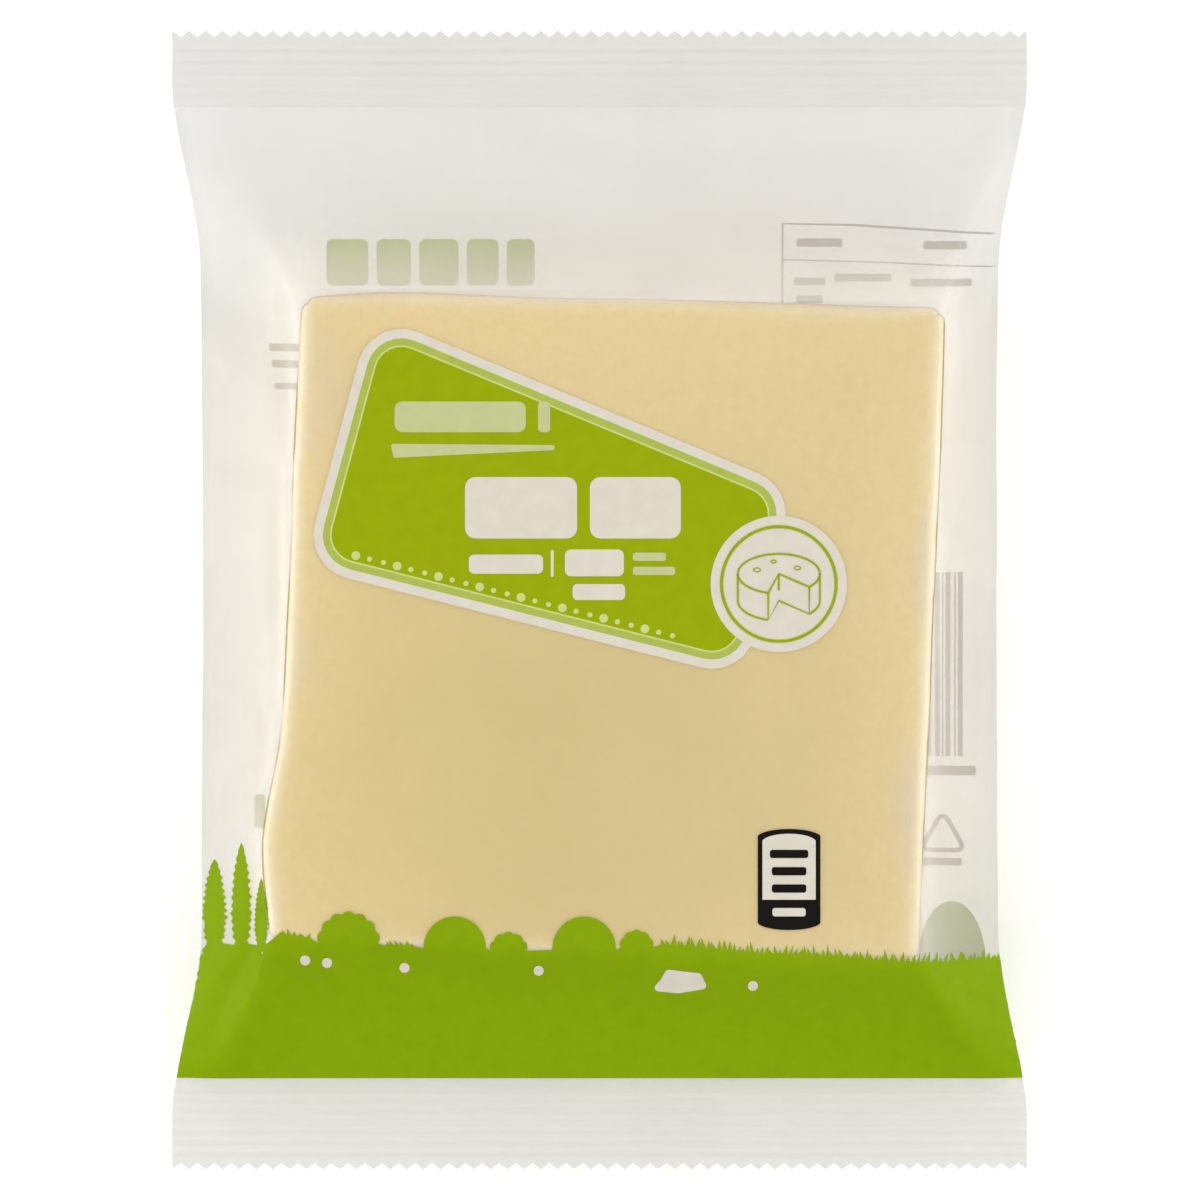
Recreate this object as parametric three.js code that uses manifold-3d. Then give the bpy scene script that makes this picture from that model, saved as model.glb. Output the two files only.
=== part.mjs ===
// A square block of semi-hard cheese sealed in a clear flow-wrap pack.
//
// The film is one tube round the block, pressed flat and crimped shut at both ends, where a
// zigzag knife has cut it. The pack is modelled as one closed solid out to the film: flat over
// the block's two faces, sloping like a hipped roof to the two side folds and the two end
// seals, with the lengthwise seam's fin lying against the back.
//
// Millimetres. The pack lies on its back on the plane Z = 0 with its front facing up: X runs
// across it, Y along it towards the upper seal, Z up. The origin is under its middle.

import * as THREE from "three";
import { mergeVertices } from "three/addons/utils/BufferGeometryUtils.js";
import Module from "manifold-3d";

const wasm = await Module();
wasm.setup();

// Driving dimensions of the pack.
const PACK_WIDTH = 134.2; // across the flat end seals, half of the film tube's girth
const PACK_LENGTH = 178.8; // from tooth tip to tooth tip
const WAIST_WIDTH = 125.4; // between the side folds, beside the block
const SEAL_LENGTH = 12.0; // each crimped end, teeth included
const SEAL_THICKNESS = 0.5;
const FOLD_THICKNESS = 0.7; // of the body's rim, where the seals and the side folds begin
const SEAL_DROOP = 1.4; // how far each seal's free end hangs below its root
const FOLD_HEIGHT = 10.6; // of the side folds and the seals' roots above the floor
const NECK_START = 52.0; // the sides are parallel this far from the middle
const NECK_END = 82.0; // and have reached the seals' full width here

// Driving dimensions of the block of cheese, film included: 101.4 wide and 102.9 long. It
// lies a little askew, so each side crosses an axis at a distance and leans by some degrees.
const BLOCK_HEIGHT = 21.8;
const LEFT_SIDE = { at: -48.9, lean: 2.4 };
const RIGHT_SIDE = { at: 52.5, lean: 2.4 };
const TOP_SIDE = { at: 47.1, lean: 1.25 };
const BOTTOM_SIDE = { at: -55.8, lean: 1.9 };
const BULGE = 2.4; // how far its lower left side stands out
const BULGE_Y = -38.0;
const BULGE_REACH = 13.0;

// The crimps and the knife's teeth.
const CRIMP_COUNT = 6;
const CRIMP_PITCH = 1.82;
const CRIMP_HEIGHT = 0.36; // from the bottom of a groove to the top of a ridge
const CRIMP_STEPS = 4; // segments in one crimp
const TOOTH_COUNT = 51;
const TOOTH_DEPTH = 1.0;

// The seam's fin, folded flat on the back.
const FIN_LEFT = 5.4;
const FIN_WIDTH = 13.0;
const FIN_THICKNESS = 0.5; // it stands this far out from the back
const FIN_START = 0.16; // share of the slope from the block to the seal where it lifts off
const FIN_EMBED = 0.3; // how far it is sunk into the back, so that the two fuse

// The film's shape between the block and the outline.
const HIP_POWER = 6; // a larger power makes the creases at the corners sharper
const EDGE_ROUNDING = 0.1; // share of the slope over which the film bends off the block
const END_HOLLOW = 1.5; // above 1, the slopes to the seals are hollow
const SIDE_HOLLOW = 1.0; // at 1, the slopes to the side folds are straight
const FOLD_WAVES = [
  { height: 1.4, length: 47, left: 0.38, right: 0.13 }, // left and right are phases in turns
  { height: 0.6, length: 29, left: 0.7, right: 0.3 },
];

// The grid of the film: the shares of each slope where its lines run, and the numbers of
// steps over the block's face.
const SLOPE_LINES = [0, 0.05, 0.1, 0.2, 0.32, 0.44, 0.56, 0.68, 0.8, 0.91, 1];
const FACE_STEPS_ACROSS = 8;
const FACE_STEPS_ALONG = 20;
const SETTLE_STEPS = 4;

const SEAL_Y = PACK_LENGTH / 2 - SEAL_LENGTH;
const OVERLAP = 0.6; // how far the seals and fins reach into the body, so that they fuse

const clamp = THREE.MathUtils.clamp;
const lerp = THREE.MathUtils.lerp;

// ---- The outline, seen from the front ----

// Half of the pack's width at a distance from its middle.
function halfWidth(y) {
  const neck = THREE.MathUtils.smoothstep(Math.abs(y), NECK_START, NECK_END);
  return lerp(WAIST_WIDTH, PACK_WIDTH, neck) / 2;
}

// Where one of the block's sides is, at a distance along it. All four lean clockwise.
function sideAt(side, along) {
  return side.at + along * Math.tan(THREE.MathUtils.degToRad(side.lean));
}

function blockRight(y) {
  return sideAt(RIGHT_SIDE, y);
}

function blockLeft(y) {
  const away = (y - BULGE_Y) / BULGE_REACH;
  return sideAt(LEFT_SIDE, y) - BULGE * Math.exp(-away * away);
}

function blockTop(x) {
  return sideAt(TOP_SIDE, -x);
}

function blockBottom(x) {
  return sideAt(BOTTOM_SIDE, -x);
}

// ---- The film ----

// How far a point lies down the slopes: 0 on the block's face, 1 at the outline.
function slopeShares(x, y) {
  const side =
    x > 0
      ? (x - blockRight(y)) / (halfWidth(y) - blockRight(y))
      : (blockLeft(y) - x) / (blockLeft(y) + halfWidth(y));
  const end =
    y > 0
      ? (y - blockTop(x)) / (SEAL_Y - blockTop(x))
      : (blockBottom(x) - y) / (blockBottom(x) + SEAL_Y);
  return { side: clamp(side, 0, 1), end: clamp(end, 0, 1) };
}

// What is left of the height at a share of the slope, with the bend off the block's edge.
function slopeProfile(share) {
  const scale = 1 - EDGE_ROUNDING / 2;
  if (share < EDGE_ROUNDING) return 1 - (share * share) / (2 * EDGE_ROUNDING * scale);
  return (1 - share) / scale;
}

// The height of the outline where front and back meet: the side folds wave up and down.
function foldHeight(x, y) {
  const across = clamp((x / halfWidth(y) + 1) / 2, 0, 1);
  const fade = 1 - Math.pow(clamp(Math.abs(y) / SEAL_Y, 0, 1), 2);
  let wave = 0;
  for (const { height, length, left, right } of FOLD_WAVES) {
    const atLeft = Math.sin(2 * Math.PI * (y / length + left));
    const atRight = Math.sin(2 * Math.PI * (y / length + right));
    wave += height * lerp(atLeft, atRight, across);
  }
  return FOLD_HEIGHT + fade * wave;
}

// Heights of the front and back film over a point of the floor.
function filmHeights(x, y) {
  const { side, end } = slopeShares(x, y);
  const sideWeight = Math.pow(side, HIP_POWER);
  const endWeight = Math.pow(end, HIP_POWER);
  const sum = sideWeight + endWeight;
  const share = clamp(Math.pow(sum, 1 / HIP_POWER), 0, 1);
  const power = sum > 0 ? lerp(SIDE_HOLLOW, END_HOLLOW, endWeight / sum) : 1;
  const left = Math.pow(slopeProfile(share), power);
  const mid = foldHeight(x, y);
  const edge = FOLD_THICKNESS / 2;
  return {
    front: lerp(mid + edge, BLOCK_HEIGHT, left),
    back: lerp(mid - edge, 0, left),
  };
}

// A line of the grid runs at u (across) or v (along), from 0 to 3: a slope, the face, a slope.
function alongBands(at, edges) {
  const band = Math.min(Math.floor(at), edges.length - 2);
  return lerp(edges[band], edges[band + 1], at - band);
}

function gridPoint(u, v) {
  let x = 0;
  let y = 0;
  for (let step = 0; step < SETTLE_STEPS; step++) {
    x = alongBands(u, [-halfWidth(y), blockLeft(y), blockRight(y), halfWidth(y)]);
    y = alongBands(v, [-SEAL_Y, blockBottom(x), blockTop(x), SEAL_Y]);
  }
  return { x, y };
}

function gridLines(faceSteps) {
  const first = SLOPE_LINES.map((share) => 1 - share).reverse();
  const second = Array.from({ length: faceSteps }, (_, i) => 1 + (i + 1) / faceSteps);
  const third = SLOPE_LINES.slice(1).map((share) => 2 + share);
  return [...first, ...second, ...third];
}

// ---- Solids ----

function solidOf(geometry) {
  geometry.deleteAttribute("normal");
  geometry.deleteAttribute("uv");
  const merged = mergeVertices(geometry, 1e-4);
  return new wasm.Manifold(
    new wasm.Mesh({
      numProp: 3,
      vertProperties: merged.attributes.position.array,
      triVerts: new Uint32Array(merged.index.array),
    }),
  );
}

function geometryOf(solid) {
  const mesh = solid.getMesh();
  const geometry = new THREE.BufferGeometry();
  const positions = new THREE.BufferAttribute(new Float32Array(mesh.vertProperties), 3);
  geometry.setAttribute("position", positions);
  geometry.setIndex(Array.from(mesh.triVerts));
  const faceted = geometry.toNonIndexed();
  faceted.computeVertexNormals();
  return faceted;
}

// A closed solid between two height functions over a grid of points.
function slabSolid(columns, rows, pointAt, upperAt, lowerAt) {
  const positions = [];
  const index = [];
  for (const heightAt of [upperAt, lowerAt])
    for (let j = 0; j < rows; j++)
      for (let i = 0; i < columns; i++) {
        const { x, y } = pointAt(i, j);
        positions.push(x, y, heightAt(x, y));
      }
  const at = (layer, i, j) => (layer * rows + j) * columns + i;
  const quad = (a, b, c, d, fromA) =>
    fromA ? index.push(a, b, c, a, c, d) : index.push(b, c, d, b, d, a);
  for (let j = 0; j < rows - 1; j++)
    for (let i = 0; i < columns - 1; i++) {
      // The diagonals run out to the corners, as the creases do.
      const outward = i < (columns - 1) / 2 === j < (rows - 1) / 2;
      const corners = [[i, j], [i + 1, j], [i + 1, j + 1], [i, j + 1]];
      const upper = corners.map(([a, b]) => at(0, a, b));
      const lower = corners.map(([a, b]) => at(1, a, b));
      quad(...upper, outward);
      quad(lower[0], lower[3], lower[2], lower[1], outward);
    }
  const wall = (a, b) => {
    const [p, q] = [at(1, ...a), at(1, ...b)];
    const [r, s] = [at(0, ...b), at(0, ...a)];
    index.push(p, q, r, p, r, s);
  };
  for (let i = 0; i < columns - 1; i++) {
    wall([i, 0], [i + 1, 0]);
    wall([i + 1, rows - 1], [i, rows - 1]);
  }
  for (let j = 0; j < rows - 1; j++) {
    wall([columns - 1, j], [columns - 1, j + 1]);
    wall([0, j + 1], [0, j]);
  }
  const geometry = new THREE.BufferGeometry();
  geometry.setAttribute("position", new THREE.Float32BufferAttribute(positions, 3));
  geometry.setIndex(index);
  return solidOf(geometry);
}

// The film between the two seals, filled by the block.
function bodySolid() {
  const across = gridLines(FACE_STEPS_ACROSS);
  const along = gridLines(FACE_STEPS_ALONG);
  return slabSolid(
    across.length,
    along.length,
    (i, j) => gridPoint(across[i], along[j]),
    (x, y) => filmHeights(x, y).front,
    (x, y) => filmHeights(x, y).back,
  );
}

// The seam's fin on the back, between the block and one seal. end is 1 or -1. Its rows lie on
// the body's own, so that the two surfaces run side by side.
function finSolid(end) {
  const columns = 7;
  const shares = SLOPE_LINES.filter((share) => share >= FIN_START);
  const lengths = [...shares, 1 + OVERLAP / (SEAL_Y - blockTop(FIN_LEFT))];
  const rows = lengths.length;
  const pointAt = (i, j) => {
    const x = FIN_LEFT + (FIN_WIDTH * i) / (columns - 1);
    const edge = end > 0 ? blockTop(x) : blockBottom(x);
    return { x, y: lerp(edge, end * SEAL_Y, lengths[end > 0 ? j : rows - 1 - j]) };
  };
  return slabSolid(
    columns,
    rows,
    pointAt,
    (x, y) => filmHeights(x, y).back + FIN_EMBED,
    (x, y) => Math.max(filmHeights(x, y).back - FIN_THICKNESS, 0),
  );
}

// Height of a seal's middle at a distance out from its root.
function sealHeight(out) {
  const share = clamp(out / SEAL_LENGTH, 0, 1);
  return FOLD_HEIGHT - SEAL_DROOP * share * share;
}

// The crimped section of a bar lying along a seal, drawn in the plane of its length and its
// height. above and below are its two faces' distances from the seal's middle.
function sealSection(above, below) {
  const flat = (SEAL_LENGTH - CRIMP_COUNT * CRIMP_PITCH) * 0.35;
  const stops = [0];
  for (let i = 0; i <= CRIMP_COUNT * CRIMP_STEPS; i++)
    stops.push(flat + (i * CRIMP_PITCH) / CRIMP_STEPS);
  stops.push(SEAL_LENGTH + OVERLAP);
  const middle = (out) => {
    const turns = clamp((out - flat) / CRIMP_PITCH, 0, CRIMP_COUNT);
    return sealHeight(out) + (CRIMP_HEIGHT / 2) * Math.sin(2 * Math.PI * turns);
  };
  // The bar begins inside the body, a little thinner than it is outside.
  const thinner = SEAL_THICKNESS / 4;
  const shape = new THREE.Shape();
  shape.moveTo(-OVERLAP, FOLD_HEIGHT + above - thinner);
  for (const out of stops) shape.lineTo(out, middle(out) + above);
  for (const out of stops.reverse()) shape.lineTo(out, middle(out) - below);
  shape.lineTo(-OVERLAP, FOLD_HEIGHT - below + thinner);
  shape.closePath();
  return shape;
}

// A bar with the seal's section, from one X to another. end is 1 or -1.
function sealBar(end, fromX, toX, above, below) {
  const geometry = new THREE.ExtrudeGeometry(sealSection(above, below), {
    depth: toX - fromX,
    bevelEnabled: false,
  });
  // The section's axes (out, up, along) become Y, Z and X, and the lower end faces the other way.
  const turn = new THREE.Matrix4().set(
    0, 0, 1, fromX,
    1, 0, 0, SEAL_Y,
    0, 1, 0, 0,
    0, 0, 0, 1,
  );
  geometry.applyMatrix4(turn);
  if (end < 0) geometry.applyMatrix4(new THREE.Matrix4().makeRotationZ(Math.PI));
  return solidOf(geometry);
}

// The seal's plan, with the curve of its two sides and the knife's zigzag at its free end.
function sealPlan(end) {
  const shape = new THREE.Shape();
  const sideSteps = 4;
  const tip = PACK_LENGTH / 2;
  const inset = OVERLAP / 2;
  const half = halfWidth(tip);
  const side = [];
  for (let i = 0; i <= sideSteps; i++) side.push(lerp(SEAL_Y, tip - TOOTH_DEPTH, i / sideSteps));
  shape.moveTo(-halfWidth(SEAL_Y) + inset, SEAL_Y - OVERLAP);
  shape.lineTo(halfWidth(SEAL_Y) - inset, SEAL_Y - OVERLAP);
  for (const y of side) shape.lineTo(halfWidth(y), y);
  for (let i = 0; i <= 2 * TOOTH_COUNT; i++) {
    const x = lerp(half, -half, i / (2 * TOOTH_COUNT));
    shape.lineTo(x, i % 2 ? tip - TOOTH_DEPTH : tip);
  }
  for (const y of side.reverse()) shape.lineTo(-halfWidth(y), y);
  shape.closePath();
  const geometry = new THREE.ExtrudeGeometry(shape, {
    depth: BLOCK_HEIGHT,
    bevelEnabled: false,
  });
  if (end < 0) geometry.applyMatrix4(new THREE.Matrix4().makeRotationZ(Math.PI));
  return solidOf(geometry);
}

// One crimped end seal, with the fin's end pressed flat on its back.
function sealSolid(end) {
  const margin = 1.0;
  const reach = PACK_WIDTH / 2 + margin;
  const half = SEAL_THICKNESS / 2;
  const plate = sealBar(end, -reach, reach, half, half);
  // A bar at the lower end is turned half round, so its X runs the other way.
  const finFrom = end > 0 ? FIN_LEFT : -FIN_LEFT - FIN_WIDTH;
  const finEnd = sealBar(end, finFrom, finFrom + FIN_WIDTH, 0, half + FIN_THICKNESS);
  return plate.add(finEnd).intersect(sealPlan(end));
}

function packSolid() {
  return bodySolid()
    .add(sealSolid(1))
    .add(sealSolid(-1))
    .add(finSolid(1))
    .add(finSolid(-1));
}

const film = new THREE.MeshStandardMaterial({
  color: new THREE.Color(0.87, 0.82, 0.66),
  roughness: 0.42,
  metalness: 0,
});

const pack = new THREE.Mesh(geometryOf(packSolid()), film);
pack.name = "cheese_pack";

const model = new THREE.Group();
model.add(pack);

export default model;
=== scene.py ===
"""A block of cheese in a clear flow-wrap pack, lying on its back with its front facing up.

The film is a tube of clear, slightly milky film that a cloth simulation draws tight over the
block. Its two ends are crimped flat and cut by a zigzag knife, and its lengthwise seam lies
folded on the back. The print is thin fields of ink laid onto the film, front and back.

Metres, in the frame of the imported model: X across the pack, Y along it, Z up out of its front.
"""

import math
import random

import bmesh
import bpy
from bpy.props import FloatProperty, FloatVectorProperty, IntProperty, PointerProperty
from mathutils import Matrix, Vector, noise
from mathutils.bvhtree import BVHTree


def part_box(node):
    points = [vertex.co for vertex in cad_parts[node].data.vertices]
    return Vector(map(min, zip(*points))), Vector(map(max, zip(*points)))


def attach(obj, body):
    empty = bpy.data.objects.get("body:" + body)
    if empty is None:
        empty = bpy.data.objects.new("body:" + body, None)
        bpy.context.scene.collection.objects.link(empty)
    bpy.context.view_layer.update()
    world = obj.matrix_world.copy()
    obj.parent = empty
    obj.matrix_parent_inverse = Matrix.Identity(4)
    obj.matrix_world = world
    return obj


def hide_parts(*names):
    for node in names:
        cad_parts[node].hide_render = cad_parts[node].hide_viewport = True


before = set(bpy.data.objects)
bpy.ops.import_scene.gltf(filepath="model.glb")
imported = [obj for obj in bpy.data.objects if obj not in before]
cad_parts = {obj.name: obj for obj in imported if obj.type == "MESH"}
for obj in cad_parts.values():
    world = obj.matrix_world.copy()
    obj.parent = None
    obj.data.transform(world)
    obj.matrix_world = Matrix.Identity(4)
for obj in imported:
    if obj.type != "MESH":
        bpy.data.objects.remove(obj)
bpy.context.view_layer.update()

bl_info = {
    "name": "Packed Cheese Block",
    "version": (1, 0, 0),
    "blender": (4, 5, 0),
    "location": "View3D > Sidebar > Cheese Pack",
    "description": "Builds a block of cheese sealed in printed flow-wrap film",
    "category": "Object",
}

NODE = "cheese_pack"
MM = 0.001

# ---- Sizes ----

BOX_LOW, BOX_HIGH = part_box(NODE)
PACK_SIZE = BOX_HIGH - BOX_LOW

WAIST_WIDTH = 125.4 * MM  # between the side folds, beside the block
SEAL_LENGTH = 12.0 * MM  # each crimped end, teeth included
SEAL_DROOP = 1.4 * MM  # how far each seal's free end hangs below its root
FOLD_HEIGHT = 10.6 * MM  # of the side folds and the seals' roots above the floor
NECK_START = 52.0 * MM  # the sides are parallel this far from the middle
NECK_END = 82.0 * MM  # and have reached the seals' full width here
SEAL_Y = PACK_SIZE.y / 2 - SEAL_LENGTH  # where the seals begin

# The block lies a little askew: each side crosses an axis at a distance and leans by some
# degrees. The film is included.
LEFT_SIDE = {"at": -48.9 * MM, "lean": 2.4}
RIGHT_SIDE = {"at": 52.5 * MM, "lean": 2.4}
TOP_SIDE = {"at": 47.4 * MM, "lean": 1.6}
BOTTOM_SIDE = {"at": -55.8 * MM, "lean": 1.9}
BULGE = 2.4 * MM  # how far its lower left side stands out
BULGE_Y = -38.0 * MM
BULGE_REACH = 13.0 * MM
TOP_DROP = 1.2 * MM  # how far its upper left corner falls below its top side

FILM_GAP = 0.15 * MM  # between the cheese's upper face and the pack's top
FIN_LEFT = 5.4 * MM  # the seam's fin, folded flat on the back
FIN_WIDTH = 13.0 * MM
FIN_THICKNESS = 0.07 * MM

# How the film's start shape slopes off the block and waves along its folds.
HIP_POWER = 6
START_CLEARANCE = 0.3 * MM  # of the start shape over and under the block
FOLD_WAVES = (
    {"height": 1.4 * MM, "length": 47 * MM, "left": 0.38, "right": 0.13},
    {"height": 0.6 * MM, "length": 29 * MM, "left": 0.7, "right": 0.3},
)

# The cloth simulation runs this many times larger than life, where it is steadiest.
CLOTH_SCALE = 20.0
CLOTH_COLUMNS = 76
CLOTH_ROWS = 92
CLOTH_FRAMES = 40
FOLD_CREASE = 0.85  # how sharp the side folds are, from 0 to 1
FOLD_HOLD = 0.7  # how firmly the side folds are held in place, from 0 to 1
ON_EDGE = 0.9999  # a place this far out on the flat tube is on a fold or a seal's root


def length_property(name, description, default):
    return FloatProperty(name=name, description=description, default=default, unit="LENGTH")


class PackSizes(bpy.types.PropertyGroup):
    """The pack's sizes that a user may change."""

    film_length: length_property(
        "Film length",
        "Length of the film tube between its two seals, before it is drawn tight",
        161.5 * MM,
    )
    film_pressure: FloatProperty(
        name="Pressure",
        description="Pressure in the pack while the film settles, below zero when air is drawn out",
        default=-0.15,
    )
    film_bending: FloatProperty(
        name="Bending stiffness",
        description="How much the film resists creasing while it settles",
        default=0.6,
    )
    crimp_count: IntProperty(name="Crimps", description="Grooves in each end seal", default=6)
    crimp_pitch: length_property(
        "Crimp pitch", "Distance from one groove of a seal to the next", 1.82 * MM
    )
    crimp_depth: length_property("Crimp depth", "Depth of the grooves in the seals", 0.08 * MM)
    tooth_count: IntProperty(
        name="Teeth", description="Teeth that the zigzag knife cuts in each end", default=51
    )
    tooth_depth: length_property("Tooth depth", "Depth of the knife's teeth", 1.0 * MM)
    seal_thickness: length_property(
        "Seal thickness", "Thickness of the two films pressed together in a seal", 0.14 * MM
    )
    ink_thickness: length_property("Ink thickness", "Thickness of each printed layer", 0.03 * MM)


def colour_property(name, description, default):
    limits = {"size": 3, "min": 0.0, "max": 1.0, "subtype": "COLOR"}
    return FloatVectorProperty(name=name, description=description, default=default, **limits)


class PackColours(bpy.types.PropertyGroup):
    """The pack's colours that a user may change."""

    film: colour_property("Film", "Milky haze of the film", (0.605, 0.590, 0.562))
    # painted glow: the film's brighter, warmer colour by the block's edges stands in for light that
    # the cheese scatters into the film, and covers the shade beside the block
    film_glow: colour_property("Film by the cheese", "Its haze there", (0.930, 0.885, 0.800))
    cheese: colour_property("Cheese", "The cheese's deeper colour", (0.550, 0.434, 0.174))
    cheese_pale: colour_property("Pale cheese", "Its paler outer parts", (0.693, 0.537, 0.252))
    # painted highlight: the cheese's pale rim colour brightens its rounded edges, and also lifts
    # their shade
    cheese_rim_light: colour_property("Cheese rim", "Its pale edges", (0.820, 0.710, 0.430))
    label_green: colour_property("Label green", "Green of the label", (0.258, 0.331, 0.000))
    rim_green: colour_property("Rim green", "Paler green round the label", (0.345, 0.412, 0.072))
    line_green: colour_property("Line green", "Thin pale lines on the label", (0.50, 0.56, 0.19))
    ground_green: colour_property("Ground green", "Green of the band", (0.196, 0.310, 0.000))
    bar_green: colour_property("Bar green", "Pale bars on the label", (0.462, 0.488, 0.235))
    white: colour_property("White", "White print on the front", (0.605, 0.565, 0.480))
    black: colour_property("Black", "Black print", (0.006, 0.005, 0.004))
    grey: colour_property("Grey", "Black print on the back", (0.35, 0.32, 0.27))
    back_green: colour_property("Back green", "Green print on the back", (0.295, 0.36, 0.0))


# ---- The pack's form, seen from the front ----


def clamp(value, low=0.0, high=1.0):
    return min(max(value, low), high)


def lerp(start, end, share):
    return start + (end - start) * share


def smoothstep(value, low, high):
    share = clamp((value - low) / (high - low))
    return share * share * (3 - 2 * share)


def half_width(y):
    """Half of the pack's width at a distance from its middle."""
    neck = smoothstep(abs(y), NECK_START, NECK_END)
    return lerp(WAIST_WIDTH, PACK_SIZE.x, neck) / 2


def side_at(side, along):
    return side["at"] + along * math.tan(math.radians(side["lean"]))


def block_right(y):
    return side_at(RIGHT_SIDE, y)


def block_left(y):
    away = (y - BULGE_Y) / BULGE_REACH
    return side_at(LEFT_SIDE, y) - BULGE * math.exp(-away * away)


def block_top(x):
    return side_at(TOP_SIDE, -x) - TOP_DROP * smoothstep(-x, 33 * MM, 50 * MM)


def block_bottom(x):
    return side_at(BOTTOM_SIDE, -x)


def block_point(u, v):
    """The place on the block's face of u across it and v along it, each from -1 to 1."""
    x, y = 0.0, 0.0
    for _ in range(4):
        x = lerp(block_left(y), block_right(y), (u + 1) / 2)
        y = lerp(block_bottom(x), block_top(x), (v + 1) / 2)
    return x, y


def inside_block(x, y):
    """How far inside the block's two sides, and its two ends, a point lies."""
    aside = min(x - block_left(y), block_right(y) - x)
    along = min(y - block_bottom(x), block_top(x) - y)
    return aside, along


def beside_block(x, y):
    """How far out from the block's nearer side a point lies, and how wide the strip from there
    to the side fold is."""
    if x > 0:
        return x - block_right(y), half_width(y) - block_right(y)
    return block_left(y) - x, block_left(y) + half_width(y)


def film_heights(x, y):
    """Heights of the front and back film over a point, sloping off the block as a hip roof."""
    aside, strip = beside_block(x, y)
    if y > 0:
        end = (y - block_top(x)) / (SEAL_Y - block_top(x))
    else:
        end = (block_bottom(x) - y) / (block_bottom(x) + SEAL_Y)
    share = (clamp(aside / strip) ** HIP_POWER + clamp(end) ** HIP_POWER) ** (1 / HIP_POWER)
    left = 1 - clamp(share)
    front = lerp(FOLD_HEIGHT, PACK_SIZE.z + START_CLEARANCE, left)
    back = lerp(FOLD_HEIGHT, -START_CLEARANCE, left)
    return front, back


def fold_wave(y, on_right):
    """How the side folds wave up and down along the pack."""
    fade = max(0.0, 1 - (y / SEAL_Y) ** 2)
    phase = "right" if on_right else "left"
    waves = (
        w["height"] * math.sin(2 * math.pi * (y / w["length"] + w[phase])) for w in FOLD_WAVES
    )
    return fade * sum(waves)


# ---- Objects and meshes ----


def new_object(name, bm, smooth=True):
    """An object at the origin whose mesh is made from bm, which is freed."""
    mesh = bpy.data.meshes.new(name)
    bm.to_mesh(mesh)
    bm.free()
    for polygon in mesh.polygons:
        polygon.use_smooth = smooth
    piece = bpy.data.objects.new(name, mesh)
    bpy.context.scene.collection.objects.link(piece)
    return piece


def point_shares(mesh, *names):
    """New numbers on a mesh's points: a list of items for each name."""
    for name in names:
        mesh.attributes.new(name, "FLOAT", "POINT")
    return [mesh.attributes[name].data for name in names]


def surface_of(*pieces):
    """A tree for ray casts on the finished surfaces of one or more pieces."""
    depsgraph = bpy.context.evaluated_depsgraph_get()
    joined = bmesh.new()
    for piece in pieces:
        mesh = piece.evaluated_get(depsgraph).to_mesh()
        joined.from_mesh(mesh)
        piece.evaluated_get(depsgraph).to_mesh_clear()
    tree = BVHTree.FromBMesh(joined)
    joined.free()
    return tree


SHARP_ANGLE = 0.7  # radians; a sheet's edges that fold more are shaded sharp


def thicken(bm, vector_at):
    """Closes an open sheet with a second one. vector_at gives the way from one to the other."""
    outward = bm.verts.layers.float_vector.new("outward")
    for vertex in bm.verts:
        vertex[outward] = vector_at(vertex)
    copied = bmesh.ops.extrude_face_region(bm, geom=bm.faces[:], use_keep_orig=True)["geom"]
    for item in copied:
        if isinstance(item, bmesh.types.BMVert):
            item.co += item[outward]
    bm.verts.layers.float_vector.remove(outward)
    bmesh.ops.recalc_face_normals(bm, faces=bm.faces[:])
    for edge in bm.edges:
        edge.smooth = edge.calc_face_angle(0.0) < SHARP_ANGLE


def smoothed(piece):
    modifier = piece.modifiers.new("Smoothing", "SUBSURF")
    modifier.levels = modifier.render_levels = 1


def finish_piece(piece, material, slot):
    """Gives a piece its material and its body. Film and print are too thin and clear to cast a
    shadow."""
    piece.data.materials.clear()
    piece.data.materials.append(material)
    piece.visible_shadow = slot == "cheese"
    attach(piece, "root")


# ---- Materials ----


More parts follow.
